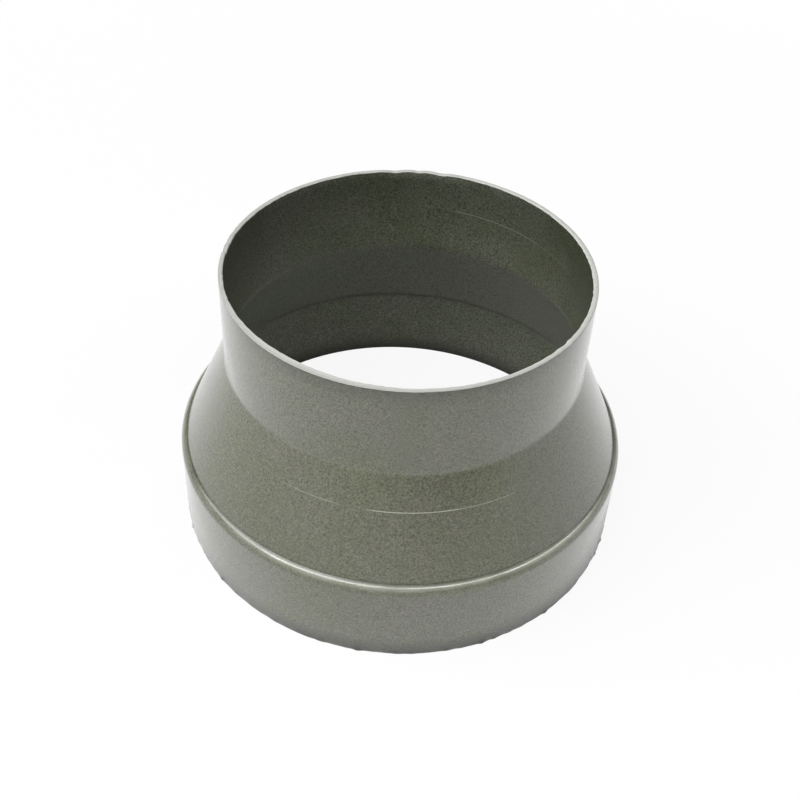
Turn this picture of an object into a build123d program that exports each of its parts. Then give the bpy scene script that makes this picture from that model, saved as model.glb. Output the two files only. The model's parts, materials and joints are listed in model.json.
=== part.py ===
from build123d import *
import os
from math import acos, degrees, sqrt

# Duct reducer, one thin-walled moulding that stands on its wide end.
# The duct's axis is +Z, and the origin is in the middle of the wide end's lower edge.

# The two ends: a collar that a 120 mm duct is pushed over, and a socket for a 150 mm spigot
collar_diameter = 120.0
collar_length = 32.0
socket_bore = 150.4
socket_depth = 29.9
overall_height = 96.2
wall = 1.7

# Rounded shoulder over the socket: its rounding outside, and its width in to the cone's foot
shoulder_radius = 3.2
shoulder_width = 2.3

# Rounding of the break between collar and cone, on the outside
break_radius = 4.0

collar_outside = collar_diameter / 2
collar_inside = collar_outside - wall
collar_foot_height = overall_height - collar_length
socket_inside = socket_bore / 2
socket_outside = socket_inside + wall

# The shoulder is round about one point outside and inside, so that the wall keeps its thickness
inner_radius = shoulder_radius - wall
shoulder_centre = socket_outside - shoulder_radius
straight_height = socket_depth - inner_radius
cone_foot = socket_outside - shoulder_width
shoulder_run = cone_foot - shoulder_centre
shoulder_rise = sqrt(shoulder_radius**2 - shoulder_run**2)
shoulder_arc = degrees(acos(shoulder_run / shoulder_radius))
cone_foot_height = straight_height + shoulder_rise

# The cone's inside is parallel to its outside, one wall thickness in
cone_slope = (cone_foot - collar_outside) / (collar_foot_height - cone_foot_height)
level_wall = wall * sqrt(1 + cone_slope**2)
inner_break_height = collar_foot_height - (level_wall - wall) / cone_slope
lip_radius = collar_inside + cone_slope * (inner_break_height - socket_depth)

outer_break = (collar_outside, collar_foot_height)
inner_break = (collar_inside, inner_break_height)
inner_corner = (socket_inside, socket_depth)

os.makedirs("parts", exist_ok=True)

# The wall's section, drawn as radius and height, turned once about the duct's axis
with BuildPart() as reducer_body:
    with BuildSketch(Plane.XZ) as section:
        with BuildLine() as outline:
            CenterArc((shoulder_centre, straight_height), shoulder_radius, 0, shoulder_arc)
            Polyline(
                (cone_foot, cone_foot_height),
                outer_break,
                (collar_outside, overall_height),
                (collar_inside, overall_height),
                inner_break,
                (lip_radius, socket_depth),
                inner_corner,
                (socket_inside, 0),
                (socket_outside, 0),
                (socket_outside, straight_height),
            )
        make_face()
        fillet(section.vertices().sort_by_distance(outer_break)[0], radius=break_radius)
        fillet(section.vertices().sort_by_distance(inner_break)[0], radius=break_radius + wall)
        fillet(section.vertices().sort_by_distance(inner_corner)[0], radius=inner_radius)
    revolve(axis=Axis.Z)

reducer_body.part.label = "reducer_body"
export_step(reducer_body.part, "parts/reducer_body.step")
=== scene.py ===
import json
import math

import bpy
import numpy as np
from mathutils import Matrix, Vector


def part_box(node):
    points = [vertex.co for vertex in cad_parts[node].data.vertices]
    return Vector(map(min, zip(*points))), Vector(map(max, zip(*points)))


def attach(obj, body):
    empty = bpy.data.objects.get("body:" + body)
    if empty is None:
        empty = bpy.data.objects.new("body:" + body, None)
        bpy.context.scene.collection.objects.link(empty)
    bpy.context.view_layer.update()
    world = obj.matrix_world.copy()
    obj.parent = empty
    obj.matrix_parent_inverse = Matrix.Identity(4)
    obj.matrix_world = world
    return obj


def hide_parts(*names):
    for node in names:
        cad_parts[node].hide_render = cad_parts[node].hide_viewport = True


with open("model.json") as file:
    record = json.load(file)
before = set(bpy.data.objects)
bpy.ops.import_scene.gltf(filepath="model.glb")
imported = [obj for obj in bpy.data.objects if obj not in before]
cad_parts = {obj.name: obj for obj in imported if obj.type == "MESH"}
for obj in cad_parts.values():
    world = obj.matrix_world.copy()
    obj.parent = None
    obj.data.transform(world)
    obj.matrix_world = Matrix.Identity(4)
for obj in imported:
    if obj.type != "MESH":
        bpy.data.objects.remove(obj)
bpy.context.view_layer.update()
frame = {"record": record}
bodyLow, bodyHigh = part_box("reducer_body")
mountSize = {mount["name"]: mount["dims"] for mount in frame["record"]["mounts"]}
print("frame loaded, height", round(bodyHigh.z, 4), "width", round(bodyHigh.x - bodyLow.x, 4))


# settings of the moulding, in metres and degrees; angle 0 is +X, and -90 faces the viewer
moulding = {
    "height": bodyHigh.z,
    "collarOutside": mountSize["collar"]["r_mm"] / 1000,
    "socketInside": mountSize["socket"]["r_mm"] / 1000,
    "wall": bodyHigh.x - mountSize["socket"]["r_mm"] / 1000,
    "collarLength": 0.032,
    "socketDepth": 0.0299,
    "shoulderRadius": 0.0032,
    "shoulderWidth": 0.0023,
    "breakRadius": 0.004,
    "innerBreakRadius": 0.011,
    "stepTurn": 55,  # slant of the inner step, from upright
    "lipRound": 0.003,
    "innerCornerRound": 0.003,
    "rimRound": 0.00018,
    "footRound": 0.00025,
    "grooveRound": 0.00012,
    "rimFace": 0.0008,
    "rimBevel": 0.00035,
    "rimLine": 0.00008,
    "around": 660,
    "seed": 11,
    # scored hairlines: height, half width, and stretches as (from, to, strength), eased at their ends
    "lineEase": 3.0,
    "coneLine": {
        "height": 0.0528,
        "halfWidth": 0.00016,
        "stretches": [(-123, -105, 0.4), (-99, -72, 1.0), (-76, -56, 0.5)],
    },
    "collarLine": {
        "height": 0.0818,
        "halfWidth": 0.00016,
        "stretches": [(14, 44, 0.2), (38, 76, 0.5)],
    },
    # trimmed rim: height of its waves, the burr on its inner edge, where that edge stands in or back as
    # (angle, width, how far), and nicks as (angle, width, depth)
    "rimWave": 0.00003,
    "waveReach": 0.0025,
    "rimBurr": 0.00005,
    "nickReach": 0.0016,
    "nickFade": 0.0012,
    "rimLip": [(-122, 24, 0.0007), (95, 55, -0.0006), (178, 30, -0.0003)],
    "rimNicks": [
        (176.5, 1.3, 0.0005),
        (172.0, 1.0, 0.0003),
        (96.0, 2.2, 0.00045),
        (88.0, 1.4, 0.0003),
        (80.0, 2.4, 0.0004),
        (-6.3, 0.8, 0.0004),
        (-38.0, 1.2, 0.0003),
    ],
    # painted highlight on the crown of the shoulder, and a thin one over the break: its middle and reach
    # as angles of the rounding, how strong and patchy it is, and where round the ring it is stronger or
    # weaker
    "highlightBand": {
        "middle": 52,
        "reach": 19,
        "strength": 0.62,
        "patchy": 0.09,
        "sides": [(-45, 26, 0.35), (-145, 34, -0.40)],
        "atBreak": 0.12,
        "breakReach": 0.0005,
    },
    # painted shade that darkens the plastic by the foot, the groove and the rim, as (how much, how far
    # it reaches)
    "paintedShade": {
        "foot": (0.90, 0.0075),
        "groove": (0.45, 0.0007),
        "rim": (0.45, 0.006),
        "rimInside": (0.42, 0.028),
    },
    # flash left along the foot: (angle, width, how far it stands out)
    "footWave": 0.00006,
    "flashReach": 0.0007,
    "footFlash": [
        (-168.2, 0.9, 0.00042),
        (-157.9, 0.7, 0.00035),
        (-138.4, 0.7, 0.00028),
        (-98.0, 0.9, 0.00028),
        (-68.0, 0.7, 0.00035),
        (-64.7, 0.6, 0.00028),
        (-49.3, 0.8, 0.00042),
        (-25.3, 0.6, 0.00035),
        (-20.2, 0.8, 0.00042),
        (-10.2, 0.6, 0.00028),
    ],
}


# corner of the section: radius, height, rounding, points on the rounding, points on the run after it
def corner(radius, height, rounding=0.0, arcSteps=1, runSteps=1):
    return [radius, height, rounding, arcSteps, runSteps]


# closed section with rounded corners: at each corner an arc of the given radius that touches both runs,
# and between corners a run whose points lie at (1 - cos(pi k / n)) / 2, so closest near its ends
def roundedSection(corners):
    spots = np.array([c[:2] for c in corners])
    toLast = np.roll(spots, 1, axis=0) - spots
    toNext = np.roll(spots, -1, axis=0) - spots
    toLast /= np.linalg.norm(toLast, axis=1, keepdims=True)
    toNext /= np.linalg.norm(toNext, axis=1, keepdims=True)
    halfAngle = np.arccos(np.clip((toLast * toNext).sum(1), -1, 1)) / 2
    rounding = np.array([c[2] for c in corners])
    reach = rounding / np.tan(halfAngle)
    arcStart = spots + toLast * reach[:, None]
    arcEnd = spots + toNext * reach[:, None]
    pieces = []
    for k, (_, _, radius, arcSteps, runSteps) in enumerate(corners):
        if radius:
            inward = (toLast[k] + toNext[k]) / np.linalg.norm(toLast[k] + toNext[k])
            centre = spots[k] + inward * radius / math.sin(halfAngle[k])
            swing = math.pi - 2 * halfAngle[k]
            share = np.arange(arcSteps)[:, None] / arcSteps
            first, last = arcStart[k] - centre, arcEnd[k] - centre
            bow = (np.sin((1 - share) * swing) * first + np.sin(share * swing) * last) / math.sin(swing)
            pieces.append(centre + bow)
        following = arcStart[(k + 1) % len(corners)]
        ease = (1 - np.cos(np.pi * np.arange(runSteps) / runSteps))[:, None] / 2
        pieces.append(arcEnd[k] + (following - arcEnd[k]) * ease)
    return np.concatenate(pieces)


# wall section of the reducer, up the outside and down the inside, as rows of (radius, height)
def reducerSection(m):
    socketOutside = m["socketInside"] + m["wall"]
    collarInside = m["collarOutside"] - m["wall"]
    collarFoot = m["height"] - m["collarLength"]
    rimEdge = m["collarOutside"] - m["rimFace"]
    innerRadius = m["shoulderRadius"] - m["wall"]
    straight = m["socketDepth"] - innerRadius
    coneFoot = socketOutside - m["shoulderWidth"]
    arcCentre = socketOutside - m["shoulderRadius"]
    bend = math.acos((coneFoot - arcCentre) / m["shoulderRadius"])
    arcTurn = np.linspace(0, bend, 16)
    shoulder = np.stack([arcCentre + m["shoulderRadius"] * np.cos(arcTurn),
                         straight + m["shoulderRadius"] * np.sin(arcTurn)], 1)
    coneFootHeight = shoulder[-1, 1]
    slope = (coneFoot - m["collarOutside"]) / (collarFoot - coneFootHeight)
    innerBreak = collarFoot - m["wall"] * (math.sqrt(1 + slope**2) - 1) / slope
    # inside, a slanted step leads from the cone's lip to the socket's wall; it passes one wall thickness
    # under the outside's groove, and both of its ends are rounded
    meetRadius = arcCentre + innerRadius * math.cos(bend)
    meetHeight = straight + innerRadius * math.sin(bend)
    step = math.radians(m["stepTurn"])
    toLip = meetRadius - collarInside - slope * (innerBreak - meetHeight)
    toLip /= math.sin(step) - slope * math.cos(step)
    toWall = (m["socketInside"] - meetRadius) / math.sin(step)
    lip = meetRadius - toLip * math.sin(step), meetHeight + toLip * math.cos(step)
    innerCorner = m["socketInside"], meetHeight - toWall * math.cos(step)

    def lineRows(line, radiusAt, lastRun, upward):
        heights = line["height"] + upward * line["halfWidth"] * np.array([-1, 0, 1])
        return [corner(radiusAt(h), h, runSteps=n) for h, n in zip(heights, (1, 1, lastRun))]

    corners = [corner(socketOutside, 0, m["footRound"], 3, 12)]
    corners += [corner(r, h) for r, h in shoulder[:-1]]
    corners += [corner(coneFoot, coneFootHeight, m["grooveRound"], 4, 9)]
    corners += lineRows(m["coneLine"], lambda h: m["collarOutside"] + slope * (collarFoot - h), 6, 1)
    corners += [
        corner(m["collarOutside"], collarFoot, m["breakRadius"], 8, 11),
        corner(m["collarOutside"], m["height"], m["rimRound"], 3, 3),
        corner(rimEdge + m["rimLine"], m["height"]),
        corner(rimEdge, m["height"] - m["rimLine"]),
        corner(rimEdge - m["rimLine"], m["height"] - m["rimLine"] / 2, runSteps=2),
        corner(collarInside, m["height"] - m["rimBevel"], m["rimRound"], 3, 6),
    ]
    corners += lineRows(m["collarLine"], lambda h: collarInside, 6, -1)
    corners += [
        corner(collarInside, innerBreak, m["innerBreakRadius"], 9, 11),
        corner(*lip, m["lipRound"], 6, 1),
        corner(*innerCorner, m["innerCornerRound"], 7, 10),
        corner(m["socketInside"], 0, m["footRound"], 3, 3),
    ]
    return roundedSection(corners)


# smooth random ring: sum of cosines of whole waves, each with its own phase, scaled to a spread of 1
def ringNoise(angle, rng, lowest, highest):
    waves = np.arange(lowest, highest + 1)
    phase = rng.uniform(0, 2 * np.pi, len(waves))
    size = rng.uniform(0.4, 1.0, len(waves)) / np.sqrt(waves)
    ring = (size * np.cos(angle[:, None] * waves + phase)).sum(1)
    return ring / ring.std()


# sum of bell-shaped bumps round the ring, each exp(-(turn / width)^2) times its size
def ringBumps(angle, bumps):
    centre, width, size = np.radians(bumps)[:, 0], np.radians(bumps)[:, 1], np.array(bumps)[:, 2]
    turn = (angle[:, None] - centre + np.pi) % (2 * np.pi) - np.pi
    return (size * np.exp(-((turn / width) ** 2))).sum(1)


# strength of a line along its stretches, eased in and out over a few degrees
def ringStretches(angle, stretches, ease):
    degrees = np.degrees(angle)
    total = np.zeros_like(angle)
    for start, end, strength in stretches:
        inside = np.minimum(degrees - start, end - degrees) / ease
        total = np.maximum(total, strength * np.clip(inside, 0, 1))
    return total


def easeUp(value):
    value = np.clip(value, 0, 1)
    return value * value * (3 - 2 * value)


# the reducer's wall: point(angle, row) = (r cos, r sin, h), with r and h from the section
# plus the waves, nicks and flash of the two trimmed edges, each fading out away from its edge
def makeReducer(m):
    rng = np.random.default_rng(m["seed"])
    section = reducerSection(m)
    angle = np.linspace(-np.pi, np.pi, m["around"], endpoint=False)
    radius, height = section[None, :, 0], section[None, :, 1]

    midRim = m["collarOutside"] - m["wall"] / 2
    nearRim = easeUp((height - (m["height"] - m["waveReach"])) / m["waveReach"])
    atRim = easeUp((height - (m["height"] - m["nickReach"])) / m["nickFade"])
    innerEdge = atRim * easeUp((midRim - radius) / (m["wall"] / 2))
    rimWave = m["rimWave"] * ringNoise(angle, rng, 2, 24)
    rimNicks = ringBumps(angle, m["rimNicks"])
    rimBurr = ringBumps(angle, m["rimLip"]) + m["rimBurr"] * ringNoise(angle, rng, 20, 150)
    nearFoot = np.exp(-((height / m["flashReach"]) ** 2))
    outerFoot = nearFoot * easeUp((radius - m["socketInside"]) / m["wall"])
    footFlash = ringBumps(angle, m["footFlash"]) + m["footWave"] * ringNoise(angle, rng, 8, 120)

    r = radius - innerEdge * rimBurr[:, None] + outerFoot * footFlash[:, None]
    h = height + nearRim * rimWave[:, None] - atRim * rimNicks[:, None]
    points = np.stack([r * np.cos(angle)[:, None], r * np.sin(angle)[:, None], h], 2)

    rows, around = len(section), m["around"]
    i, j = np.meshgrid(np.arange(around), np.arange(rows), indexing="ij")
    nextI, nextJ = (i + 1) % around, (j + 1) % rows
    quads = np.stack([i * rows + j, nextI * rows + j, nextI * rows + nextJ, i * rows + nextJ], 2)
    mesh = bpy.data.meshes.new("reducer")
    mesh.vertices.add(around * rows)
    mesh.loops.add(around * rows * 4)
    mesh.polygons.add(around * rows)
    mesh.vertices.foreach_set("co", points.astype(np.float32).ravel())
    mesh.loops.foreach_set("vertex_index", quads.astype(np.int32).ravel())
    mesh.polygons.foreach_set("loop_start", np.arange(0, around * rows * 4, 4, dtype=np.int32))
    mesh.polygons.foreach_set("use_smooth", np.ones(around * rows, dtype=bool))

    # the sawn rim face and the foot take the second material, the inside the third
    rowEnd = np.roll(section, -1, axis=0)
    onRim = np.minimum(section[:, 1], rowEnd[:, 1]) > m["height"] - m["rimBevel"] - m["rimRound"]
    onFoot = np.maximum(section[:, 1], rowEnd[:, 1]) < m["footRound"] * 1.01
    outside = np.arange(rows) < section[:, 1].argmax()
    slots = np.where(onRim | onFoot, 1, np.where(outside, 0, 2))
    mesh.polygons.foreach_set("material_index", np.tile(slots, around).astype(np.int32))
    mesh.update()

    # paleness of the scored lines, on the middle row of each
    scored = np.zeros((around, rows))
    for line, wanted in ((m["coneLine"], outside), (m["collarLine"], ~outside)):
        gap = np.abs(section[:, 1] - line["height"])
        row = np.where(wanted, gap, 1).argmin()
        scored[:, row] = ringStretches(angle, line["stretches"], m["lineEase"])

    # painted highlight on the shoulder: a bell over the angle of its rounding, uneven round the ring,
    # plus a thin painted highlight over the break
    arcHeight = m["socketDepth"] - m["shoulderRadius"] + m["wall"]
    arcCentre = m["socketInside"] + m["wall"] - m["shoulderRadius"]
    arcTurn = np.degrees(np.arctan2(section[:, 1] - arcHeight, section[:, 0] - arcCentre))
    fromCentre = np.hypot(section[:, 0] - arcCentre, section[:, 1] - arcHeight)
    onShoulder = outside & (fromCentre < m["shoulderRadius"] * 1.01)
    bell = onShoulder * np.exp(-(((arcTurn - m["highlightBand"]["middle"]) / m["highlightBand"]["reach"]) ** 2))
    overBreak = (section[:, 1] - (m["height"] - m["collarLength"])) / m["highlightBand"]["breakReach"]
    bell += outside * m["highlightBand"]["atBreak"] * np.exp(-(overBreak**2))
    bandRing = m["highlightBand"]["strength"] + m["highlightBand"]["patchy"] * ringNoise(angle, rng, 3, 60)
    bandRing += ringBumps(angle, m["highlightBand"]["sides"])
    paintedHighlight = np.clip(bandRing, 0, 1)[:, None] * bell

    # painted shade grows in a straight line towards the foot, the rim and the groove
    def near(distance, amount, reach):
        return amount * np.clip(1 - np.abs(distance) / reach, 0, 1)

    grooveTurn = math.acos(1 - m["shoulderWidth"] / m["shoulderRadius"])
    groove = arcHeight + m["shoulderRadius"] * math.sin(grooveTurn)
    rimShade = np.where(outside, near(section[:, 1] - m["height"], *m["paintedShade"]["rim"]),
                       near(section[:, 1] - m["height"], *m["paintedShade"]["rimInside"]))
    paintedShade = np.maximum(near(section[:, 1], *m["paintedShade"]["foot"]), rimShade)
    aboveGroove = outside & (section[:, 1] > groove - 0.0001)
    paintedShade = np.maximum(paintedShade, aboveGroove * near(section[:, 1] - groove, *m["paintedShade"]["groove"]))
    paintedShade = np.tile(paintedShade, (around, 1))
    # stored on the points: the scored lines, the painted highlight on the shoulder and the painted shade
    for name, strength in (("scored", scored), ("paintedHighlight", paintedHighlight), ("paintedShade", paintedShade)):
        attribute = mesh.attributes.new(name, "FLOAT", "POINT")
        attribute.data.foreach_set("value", strength.astype(np.float32).ravel())
    return mesh


mesh = makeReducer(moulding)
reducer = bpy.data.objects.new("reducer", mesh)
bpy.context.scene.collection.objects.link(reducer)
print("reducer made:", len(mesh.polygons) * 2, "triangles")


# nodes of one material: made with its settings and input values, and wired by name
def addNode(tree, kind, settings=None, **inputs):
    made = tree.nodes.new(kind)
    for name, value in (settings or {}).items():
        setattr(made, name, value)
    for name, value in inputs.items():
        made.inputs[name].default_value = value
    return made


skin = {
    "name": "satinSkin",
    "light": (0.100, 0.102, 0.072, 1),
    "dark": (0.087, 0.094, 0.053, 1),
    # pale colour of the painted highlight on the shoulder and the break
    "paintedHighlight": (0.35, 0.355, 0.30, 1),
    "scored": (0.50, 0.51, 0.44, 1),
    "mottleScale": 48.0,
    "mottleRange": (0.35, 0.65),
    "speckleScale": 1700.0,
    "speckleRange": (0.25, 0.75),
    "speckle": (0.40, 1.60),  # how much the fine speckle darkens and lightens
    "grainHeight": 0.00001,
    "glossRange": (0.3, 0.7),
    "roughness": (0.22, 0.34),
    "coat": 1.0,
    "coatRoughness": 0.15,
    "specular": 0.45,
    "coatIOR": 1.5,
}
# the inside is the same plastic with a duller face
inside = {
    **skin,
    "name": "dullInside",
    "light": (0.100, 0.107, 0.077, 1),
    "dark": (0.081, 0.091, 0.055, 1),
    "speckle": (0.28, 1.72),
    "roughness": (0.45, 0.60),
    "coat": 0.3,
    "coatRoughness": 0.28,
    "specular": 0.33,
}


def makeSkin(s):
    material = bpy.data.materials.new(s["name"])
    material.use_nodes = True
    tree = material.node_tree
    tree.nodes.clear()
    link = tree.links.new
    place = addNode(tree, "ShaderNodeTexCoord").outputs["Object"]
    surface = addNode(tree, "ShaderNodeBsdfPrincipled", IOR=1.5)
    surface.inputs["Specular IOR Level"].default_value = s["specular"]
    surface.inputs["Coat Weight"].default_value = s["coat"]
    surface.inputs["Coat Roughness"].default_value = s["coatRoughness"]
    surface.inputs["Coat IOR"].default_value = s["coatIOR"]
    out = addNode(tree, "ShaderNodeOutputMaterial")
    link(surface.outputs[0], out.inputs["Surface"])

    def noise(scale, detail):
        made = addNode(tree, "ShaderNodeTexNoise", Scale=scale, Detail=detail, Roughness=0.55)
        link(place, made.inputs["Vector"])
        return made.outputs[0]

    def spread(value, fromLow, fromHigh, low, high):
        made = addNode(tree, "ShaderNodeMapRange")
        for k, number in enumerate((fromLow, fromHigh, low, high), 1):
            made.inputs[k].default_value = number
        link(value, made.inputs[0])
        return made.outputs[0]

    def mix(share, first, second):
        made = addNode(tree, "ShaderNodeMix", {"data_type": "RGBA"})
        made.inputs[7].default_value = second
        if isinstance(first, tuple):
            made.inputs[6].default_value = first
        else:
            link(first, made.inputs[6])
        link(share, made.inputs[0])
        return made.outputs[2]

    def painted(name):
        return addNode(tree, "ShaderNodeAttribute", {"attribute_name": name}).outputs["Fac"]

    # tone: slow mottling, fine speckle, painted shade by the foot, rim and groove, a painted highlight
    # on the shoulder and the break, and pale on the scored lines
    mottle = noise(s["mottleScale"], 4.0)
    speckle = noise(s["speckleScale"], 1.0)
    tone = mix(spread(mottle, *s["mottleRange"], 0, 1), s["dark"], s["light"])
    grain = spread(speckle, *s["speckleRange"], *s["speckle"])
    unshaded = spread(painted("paintedShade"), 0, 1, 1, 0)
    for shade in (grain, unshaded):
        shaded = addNode(tree, "ShaderNodeVectorMath", {"operation": "SCALE"})
        link(tone, shaded.inputs[0])
        link(shade, shaded.inputs["Scale"])
        tone = shaded.outputs[0]
    tone = mix(painted("paintedHighlight"), tone, s["paintedHighlight"])
    link(mix(painted("scored"), tone, s["scored"]), surface.inputs["Base Color"])

    # gloss varies with the mottling, and the speckle is a fine grain under the fingers
    link(spread(mottle, *s["glossRange"], *s["roughness"]), surface.inputs["Roughness"])
    bump = addNode(tree, "ShaderNodeBump", Strength=1.0, Distance=s["grainHeight"])
    link(speckle, bump.inputs["Height"])
    link(bump.outputs[0], surface.inputs["Normal"])
    return material


sawn = {
    "light": (0.53, 0.535, 0.505, 1),
    "dark": (0.385, 0.39, 0.36, 1),
    "lineScale": (5200.0, 5.0),  # saw lines: how close across the edge, how long along it
    # painted light and shade across the rim face: lighter by its inner edge, darker by its outer edge
    "innerTone": 1.16,
    "outerTone": 0.80,
    "grainHeight": 0.00004,
    "roughness": 0.6,
}


def makeSawn(s, m):
    material = bpy.data.materials.new("sawnEdge")
    material.use_nodes = True
    tree = material.node_tree
    tree.nodes.clear()
    link = tree.links.new
    place = addNode(tree, "ShaderNodeTexCoord").outputs["Object"]
    axes = addNode(tree, "ShaderNodeSeparateXYZ")
    flat = addNode(tree, "ShaderNodeVectorMath", {"operation": "MULTIPLY"})
    flat.inputs[1].default_value = (1, 1, 0)
    reach = addNode(tree, "ShaderNodeVectorMath", {"operation": "LENGTH"})
    # noise on (radius, direction) is stretched round the ring
    heading = addNode(tree, "ShaderNodeVectorMath", {"operation": "NORMALIZE"})
    along = addNode(tree, "ShaderNodeVectorMath", {"operation": "SCALE"})
    along.inputs["Scale"].default_value = s["lineScale"][1]
    across = addNode(tree, "ShaderNodeMath", {"operation": "MULTIPLY"})
    across.inputs[1].default_value = s["lineScale"][0]
    spot = addNode(tree, "ShaderNodeCombineXYZ")
    lines = addNode(tree, "ShaderNodeTexNoise", Scale=1.0, Detail=5.0, Roughness=0.7)
    tone = addNode(tree, "ShaderNodeMix", {"data_type": "RGBA"})
    tone.inputs[6].default_value = s["dark"]
    tone.inputs[7].default_value = s["light"]
    # painted light and shade: the rim face is scaled from lighter at its inner edge to darker at its
    # outer edge
    rimFaceShade = addNode(tree, "ShaderNodeMapRange")
    ends = (m["collarOutside"] - m["wall"], m["collarOutside"], s["innerTone"], s["outerTone"])
    for k, number in enumerate(ends, 1):
        rimFaceShade.inputs[k].default_value = number
    shaded = addNode(tree, "ShaderNodeVectorMath", {"operation": "SCALE"})
    bump = addNode(tree, "ShaderNodeBump", Strength=1.0, Distance=s["grainHeight"])
    surface = addNode(tree, "ShaderNodeBsdfPrincipled", IOR=1.5, Roughness=s["roughness"])
    out = addNode(tree, "ShaderNodeOutputMaterial")
    link(place, flat.inputs[0])
    link(flat.outputs[0], reach.inputs[0])
    link(flat.outputs[0], heading.inputs[0])
    link(heading.outputs[0], along.inputs[0])
    link(along.outputs[0], axes.inputs[0])
    link(reach.outputs["Value"], across.inputs[0])
    link(axes.outputs[0], spot.inputs[0])
    link(axes.outputs[1], spot.inputs[1])
    link(across.outputs[0], spot.inputs[2])
    link(spot.outputs[0], lines.inputs["Vector"])
    link(lines.outputs[0], tone.inputs[0])
    link(reach.outputs["Value"], rimFaceShade.inputs[0])
    link(tone.outputs[2], shaded.inputs[0])
    link(rimFaceShade.outputs[0], shaded.inputs["Scale"])
    link(shaded.outputs[0], surface.inputs["Base Color"])
    link(lines.outputs[0], bump.inputs["Height"])
    link(bump.outputs[0], surface.inputs["Normal"])
    link(surface.outputs[0], out.inputs["Surface"])
    return material


mesh.materials.append(makeSkin(skin))
mesh.materials.append(makeSawn(sawn, moulding))
mesh.materials.append(makeSkin(inside))
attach(reducer, "root")
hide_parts("reducer_body")
print("materials set")


# white floor: lit as a matt sheet, drawn mostly as plain white where it is seen directly or mirrored,
# and clear from below
floorLook = {
    "size": 4.0,
    "height": -0.0001,  # a hair under the foot
    "colour": (0.82, 0.82, 0.82, 1),
    "seenWhite": (0.90, 1.0),  # by the part, where its shadow shows, and far from it
    "farFrom": (0.15, 0.60),
    "mirroredWhite": 0.80,
    "whiteFrom": (0.077, 0.083),
}


def makeFloor(f):
    half, height = f["size"] / 2, f["height"]
    corners = [(x * half, y * half, height) for x, y in ((-1, -1), (1, -1), (1, 1), (-1, 1))]
    sheet = bpy.data.meshes.new("floor")
    sheet.from_pydata(corners, [], [(0, 1, 2, 3)])
    floor = bpy.data.objects.new("floor", sheet)
    bpy.context.scene.collection.objects.link(floor)
    material = bpy.data.materials.new("floorSheet")
    material.use_nodes = True
    tree = material.node_tree
    tree.nodes.clear()
    place = addNode(tree, "ShaderNodeTexCoord")
    reach = addNode(tree, "ShaderNodeVectorMath", {"operation": "LENGTH"})
    clear = addNode(tree, "ShaderNodeMapRange")
    clear.inputs["From Min"].default_value, clear.inputs["From Max"].default_value = f["whiteFrom"]
    ray = addNode(tree, "ShaderNodeLightPath")
    mirrored = addNode(tree, "ShaderNodeMath", {"operation": "ADD"})
    outside = addNode(tree, "ShaderNodeMath", {"operation": "MULTIPLY"})
    share = addNode(tree, "ShaderNodeMath", {"operation": "MULTIPLY"})
    share.inputs[1].default_value = f["mirroredWhite"]
    far = addNode(tree, "ShaderNodeMapRange")
    for k, number in enumerate(f["farFrom"] + f["seenWhite"], 1):
        far.inputs[k].default_value = number
    seen = addNode(tree, "ShaderNodeMath", {"operation": "MULTIPLY_ADD"})
    matt = addNode(tree, "ShaderNodeBsdfDiffuse", Color=f["colour"])
    white = addNode(tree, "ShaderNodeEmission", Strength=1.0)
    mixed = addNode(tree, "ShaderNodeMixShader")
    side = addNode(tree, "ShaderNodeNewGeometry")
    clearSheet = addNode(tree, "ShaderNodeBsdfTransparent")
    oneSided = addNode(tree, "ShaderNodeMixShader")
    out = addNode(tree, "ShaderNodeOutputMaterial")
    link = tree.links.new
    link(ray.outputs["Is Glossy Ray"], mirrored.inputs[0])
    link(ray.outputs["Is Transmission Ray"], mirrored.inputs[1])
    link(place.outputs["Object"], reach.inputs[0])
    link(reach.outputs["Value"], clear.inputs["Value"])
    link(mirrored.outputs[0], outside.inputs[0])
    link(clear.outputs[0], outside.inputs[1])
    link(outside.outputs[0], share.inputs[0])
    link(reach.outputs["Value"], far.inputs[0])
    link(ray.outputs["Is Camera Ray"], seen.inputs[0])
    link(far.outputs[0], seen.inputs[1])
    link(share.outputs[0], seen.inputs[2])
    link(seen.outputs[0], mixed.inputs[0])
    link(matt.outputs[0], mixed.inputs[1])
    link(white.outputs[0], mixed.inputs[2])
    link(side.outputs["Backfacing"], oneSided.inputs[0])
    link(mixed.outputs[0], oneSided.inputs[1])
    link(clearSheet.outputs[0], oneSided.inputs[2])
    link(oneSided.outputs[0], out.inputs["Surface"])
    sheet.materials.append(material)


makeFloor(floorLook)

# lamps: direction from the part in degrees, distance, size, slant in degrees, and the brightness that
# each gives a white card
lamps = {
    "left": (-172, 40, 1.1, (0.8, 0.28), 14, 0.22),
    "frontLeft": (-131, 53, 1.1, (0.8, 0.26), 24, 0.28),
    "front": (-89, 56, 1.1, (0.8, 0.13), 0, 0.12),
    "frontRight": (-47, 52, 1.1, (0.8, 0.16), -24, 0.23),
    "right": (-6, 39, 1.1, (0.8, 0.10), -14, 0.15),
    "back": (82, 12, 1.2, (1.0, 0.60), 0, 0.28),
    "topLeft": (-170, 62, 1.1, (0.9, 0.70), 0, 0.44),
}
aim = Vector((0, 0, moulding["height"] / 2))


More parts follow.
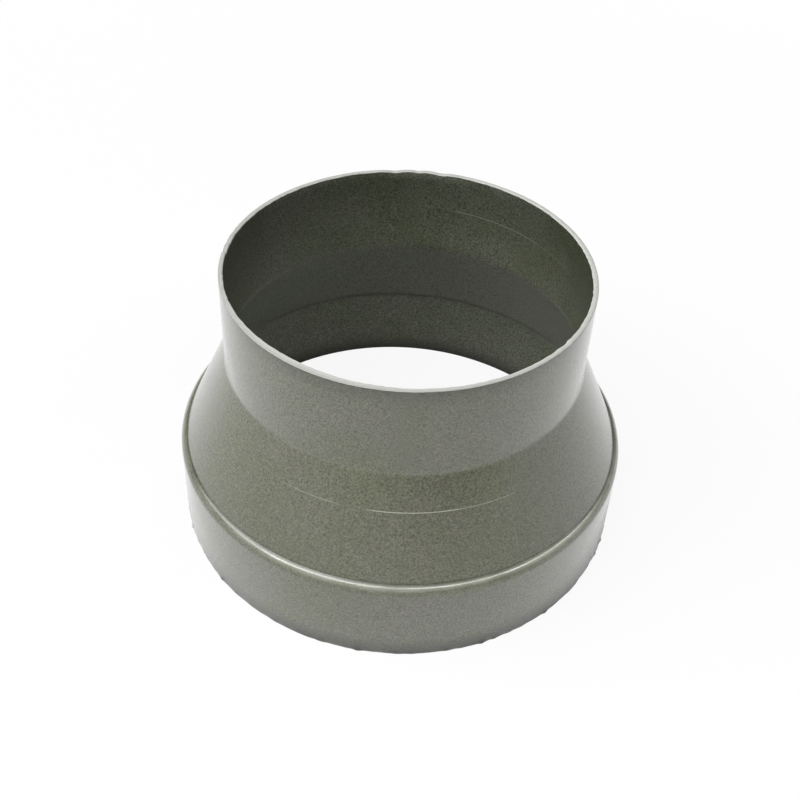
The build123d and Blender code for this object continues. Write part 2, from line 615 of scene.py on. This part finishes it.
# a lamp of power P gives a white card that faces it at distance d the brightness P / (pi d)^2
def addLamp(name, turn, lift, away, size, slant, level):
    light = bpy.data.lights.new(name, "AREA")
    light.shape = "RECTANGLE"
    light.size, light.size_y = size
    light.energy = level * (math.pi * away) ** 2
    turn, lift = math.radians(turn), math.radians(lift)
    toward = Vector((math.cos(lift) * math.cos(turn), math.cos(lift) * math.sin(turn), math.sin(lift)))
    holder = bpy.data.objects.new(name, light)
    holder.location = aim + toward * away
    slanted = Matrix.Rotation(math.radians(slant), 3, "Z")
    holder.rotation_euler = (toward.to_track_quat("Z", "Y").to_matrix() @ slanted).to_euler()
    holder.visible_camera = False
    bpy.context.scene.collection.objects.link(holder)


for name, lamp in lamps.items():
    addLamp(name, *lamp)

# soft surround: brighter towards one side, and plain white where the camera sees it
surround = {"towards": (-0.80, -0.60, 0.0), "dimUpTo": 0.1, "dim": 0.05, "bright": 0.85}


def makeWorld(w):
    world = bpy.data.worlds.new("studio")
    world.use_nodes = True
    tree = world.node_tree
    back = tree.nodes["Background"]
    back.inputs["Color"].default_value = (1, 1, 1, 1)
    view = addNode(tree, "ShaderNodeTexCoord")
    along = addNode(tree, "ShaderNodeVectorMath", {"operation": "DOT_PRODUCT"})
    along.inputs[1].default_value = w["towards"]
    glow = addNode(tree, "ShaderNodeMapRange", {"interpolation_type": "SMOOTHSTEP"})
    glow.inputs["From Min"].default_value = w["dimUpTo"]
    glow.inputs["To Min"].default_value = w["dim"]
    glow.inputs["To Max"].default_value = w["bright"]
    ray = addNode(tree, "ShaderNodeLightPath")
    level = addNode(tree, "ShaderNodeMath", {"operation": "MAXIMUM"})
    tree.links.new(view.outputs["Generated"], along.inputs[0])
    tree.links.new(along.outputs["Value"], glow.inputs["Value"])
    tree.links.new(glow.outputs[0], level.inputs[0])
    tree.links.new(ray.outputs["Is Camera Ray"], level.inputs[1])
    tree.links.new(level.outputs[0], back.inputs["Strength"])
    return world


world = makeWorld(surround)
bpy.context.scene.world = world
bpy.context.scene.view_settings.view_transform = "Standard"
print("stage and lamps set")

# camera at the photograph's angle: looking along +Y and down, turned a little about its own axis
shot = {
    "place": (-0.00204, -0.27746, 0.29148),
    "down": 38.102,
    "roll": 2.694,
    "lens": 48.04,
    "sensor": 36.0,
    "shiftY": -0.1,
    "nearest": 0.01,
}
lens = bpy.data.cameras.new("shot")
lens.lens = shot["lens"]
lens.sensor_width = shot["sensor"]
lens.shift_y = shot["shiftY"]
lens.clip_start = shot["nearest"]
camera = bpy.data.objects.new("shot", lens)
pitch = Matrix.Rotation(math.radians(90 - shot["down"]), 4, "X")
roll = Matrix.Rotation(math.radians(shot["roll"]), 4, "Z")
camera.matrix_world = Matrix.Translation(shot["place"]) @ (pitch @ roll)
bpy.context.scene.collection.objects.link(camera)
bpy.context.scene.camera = camera
print("camera set")
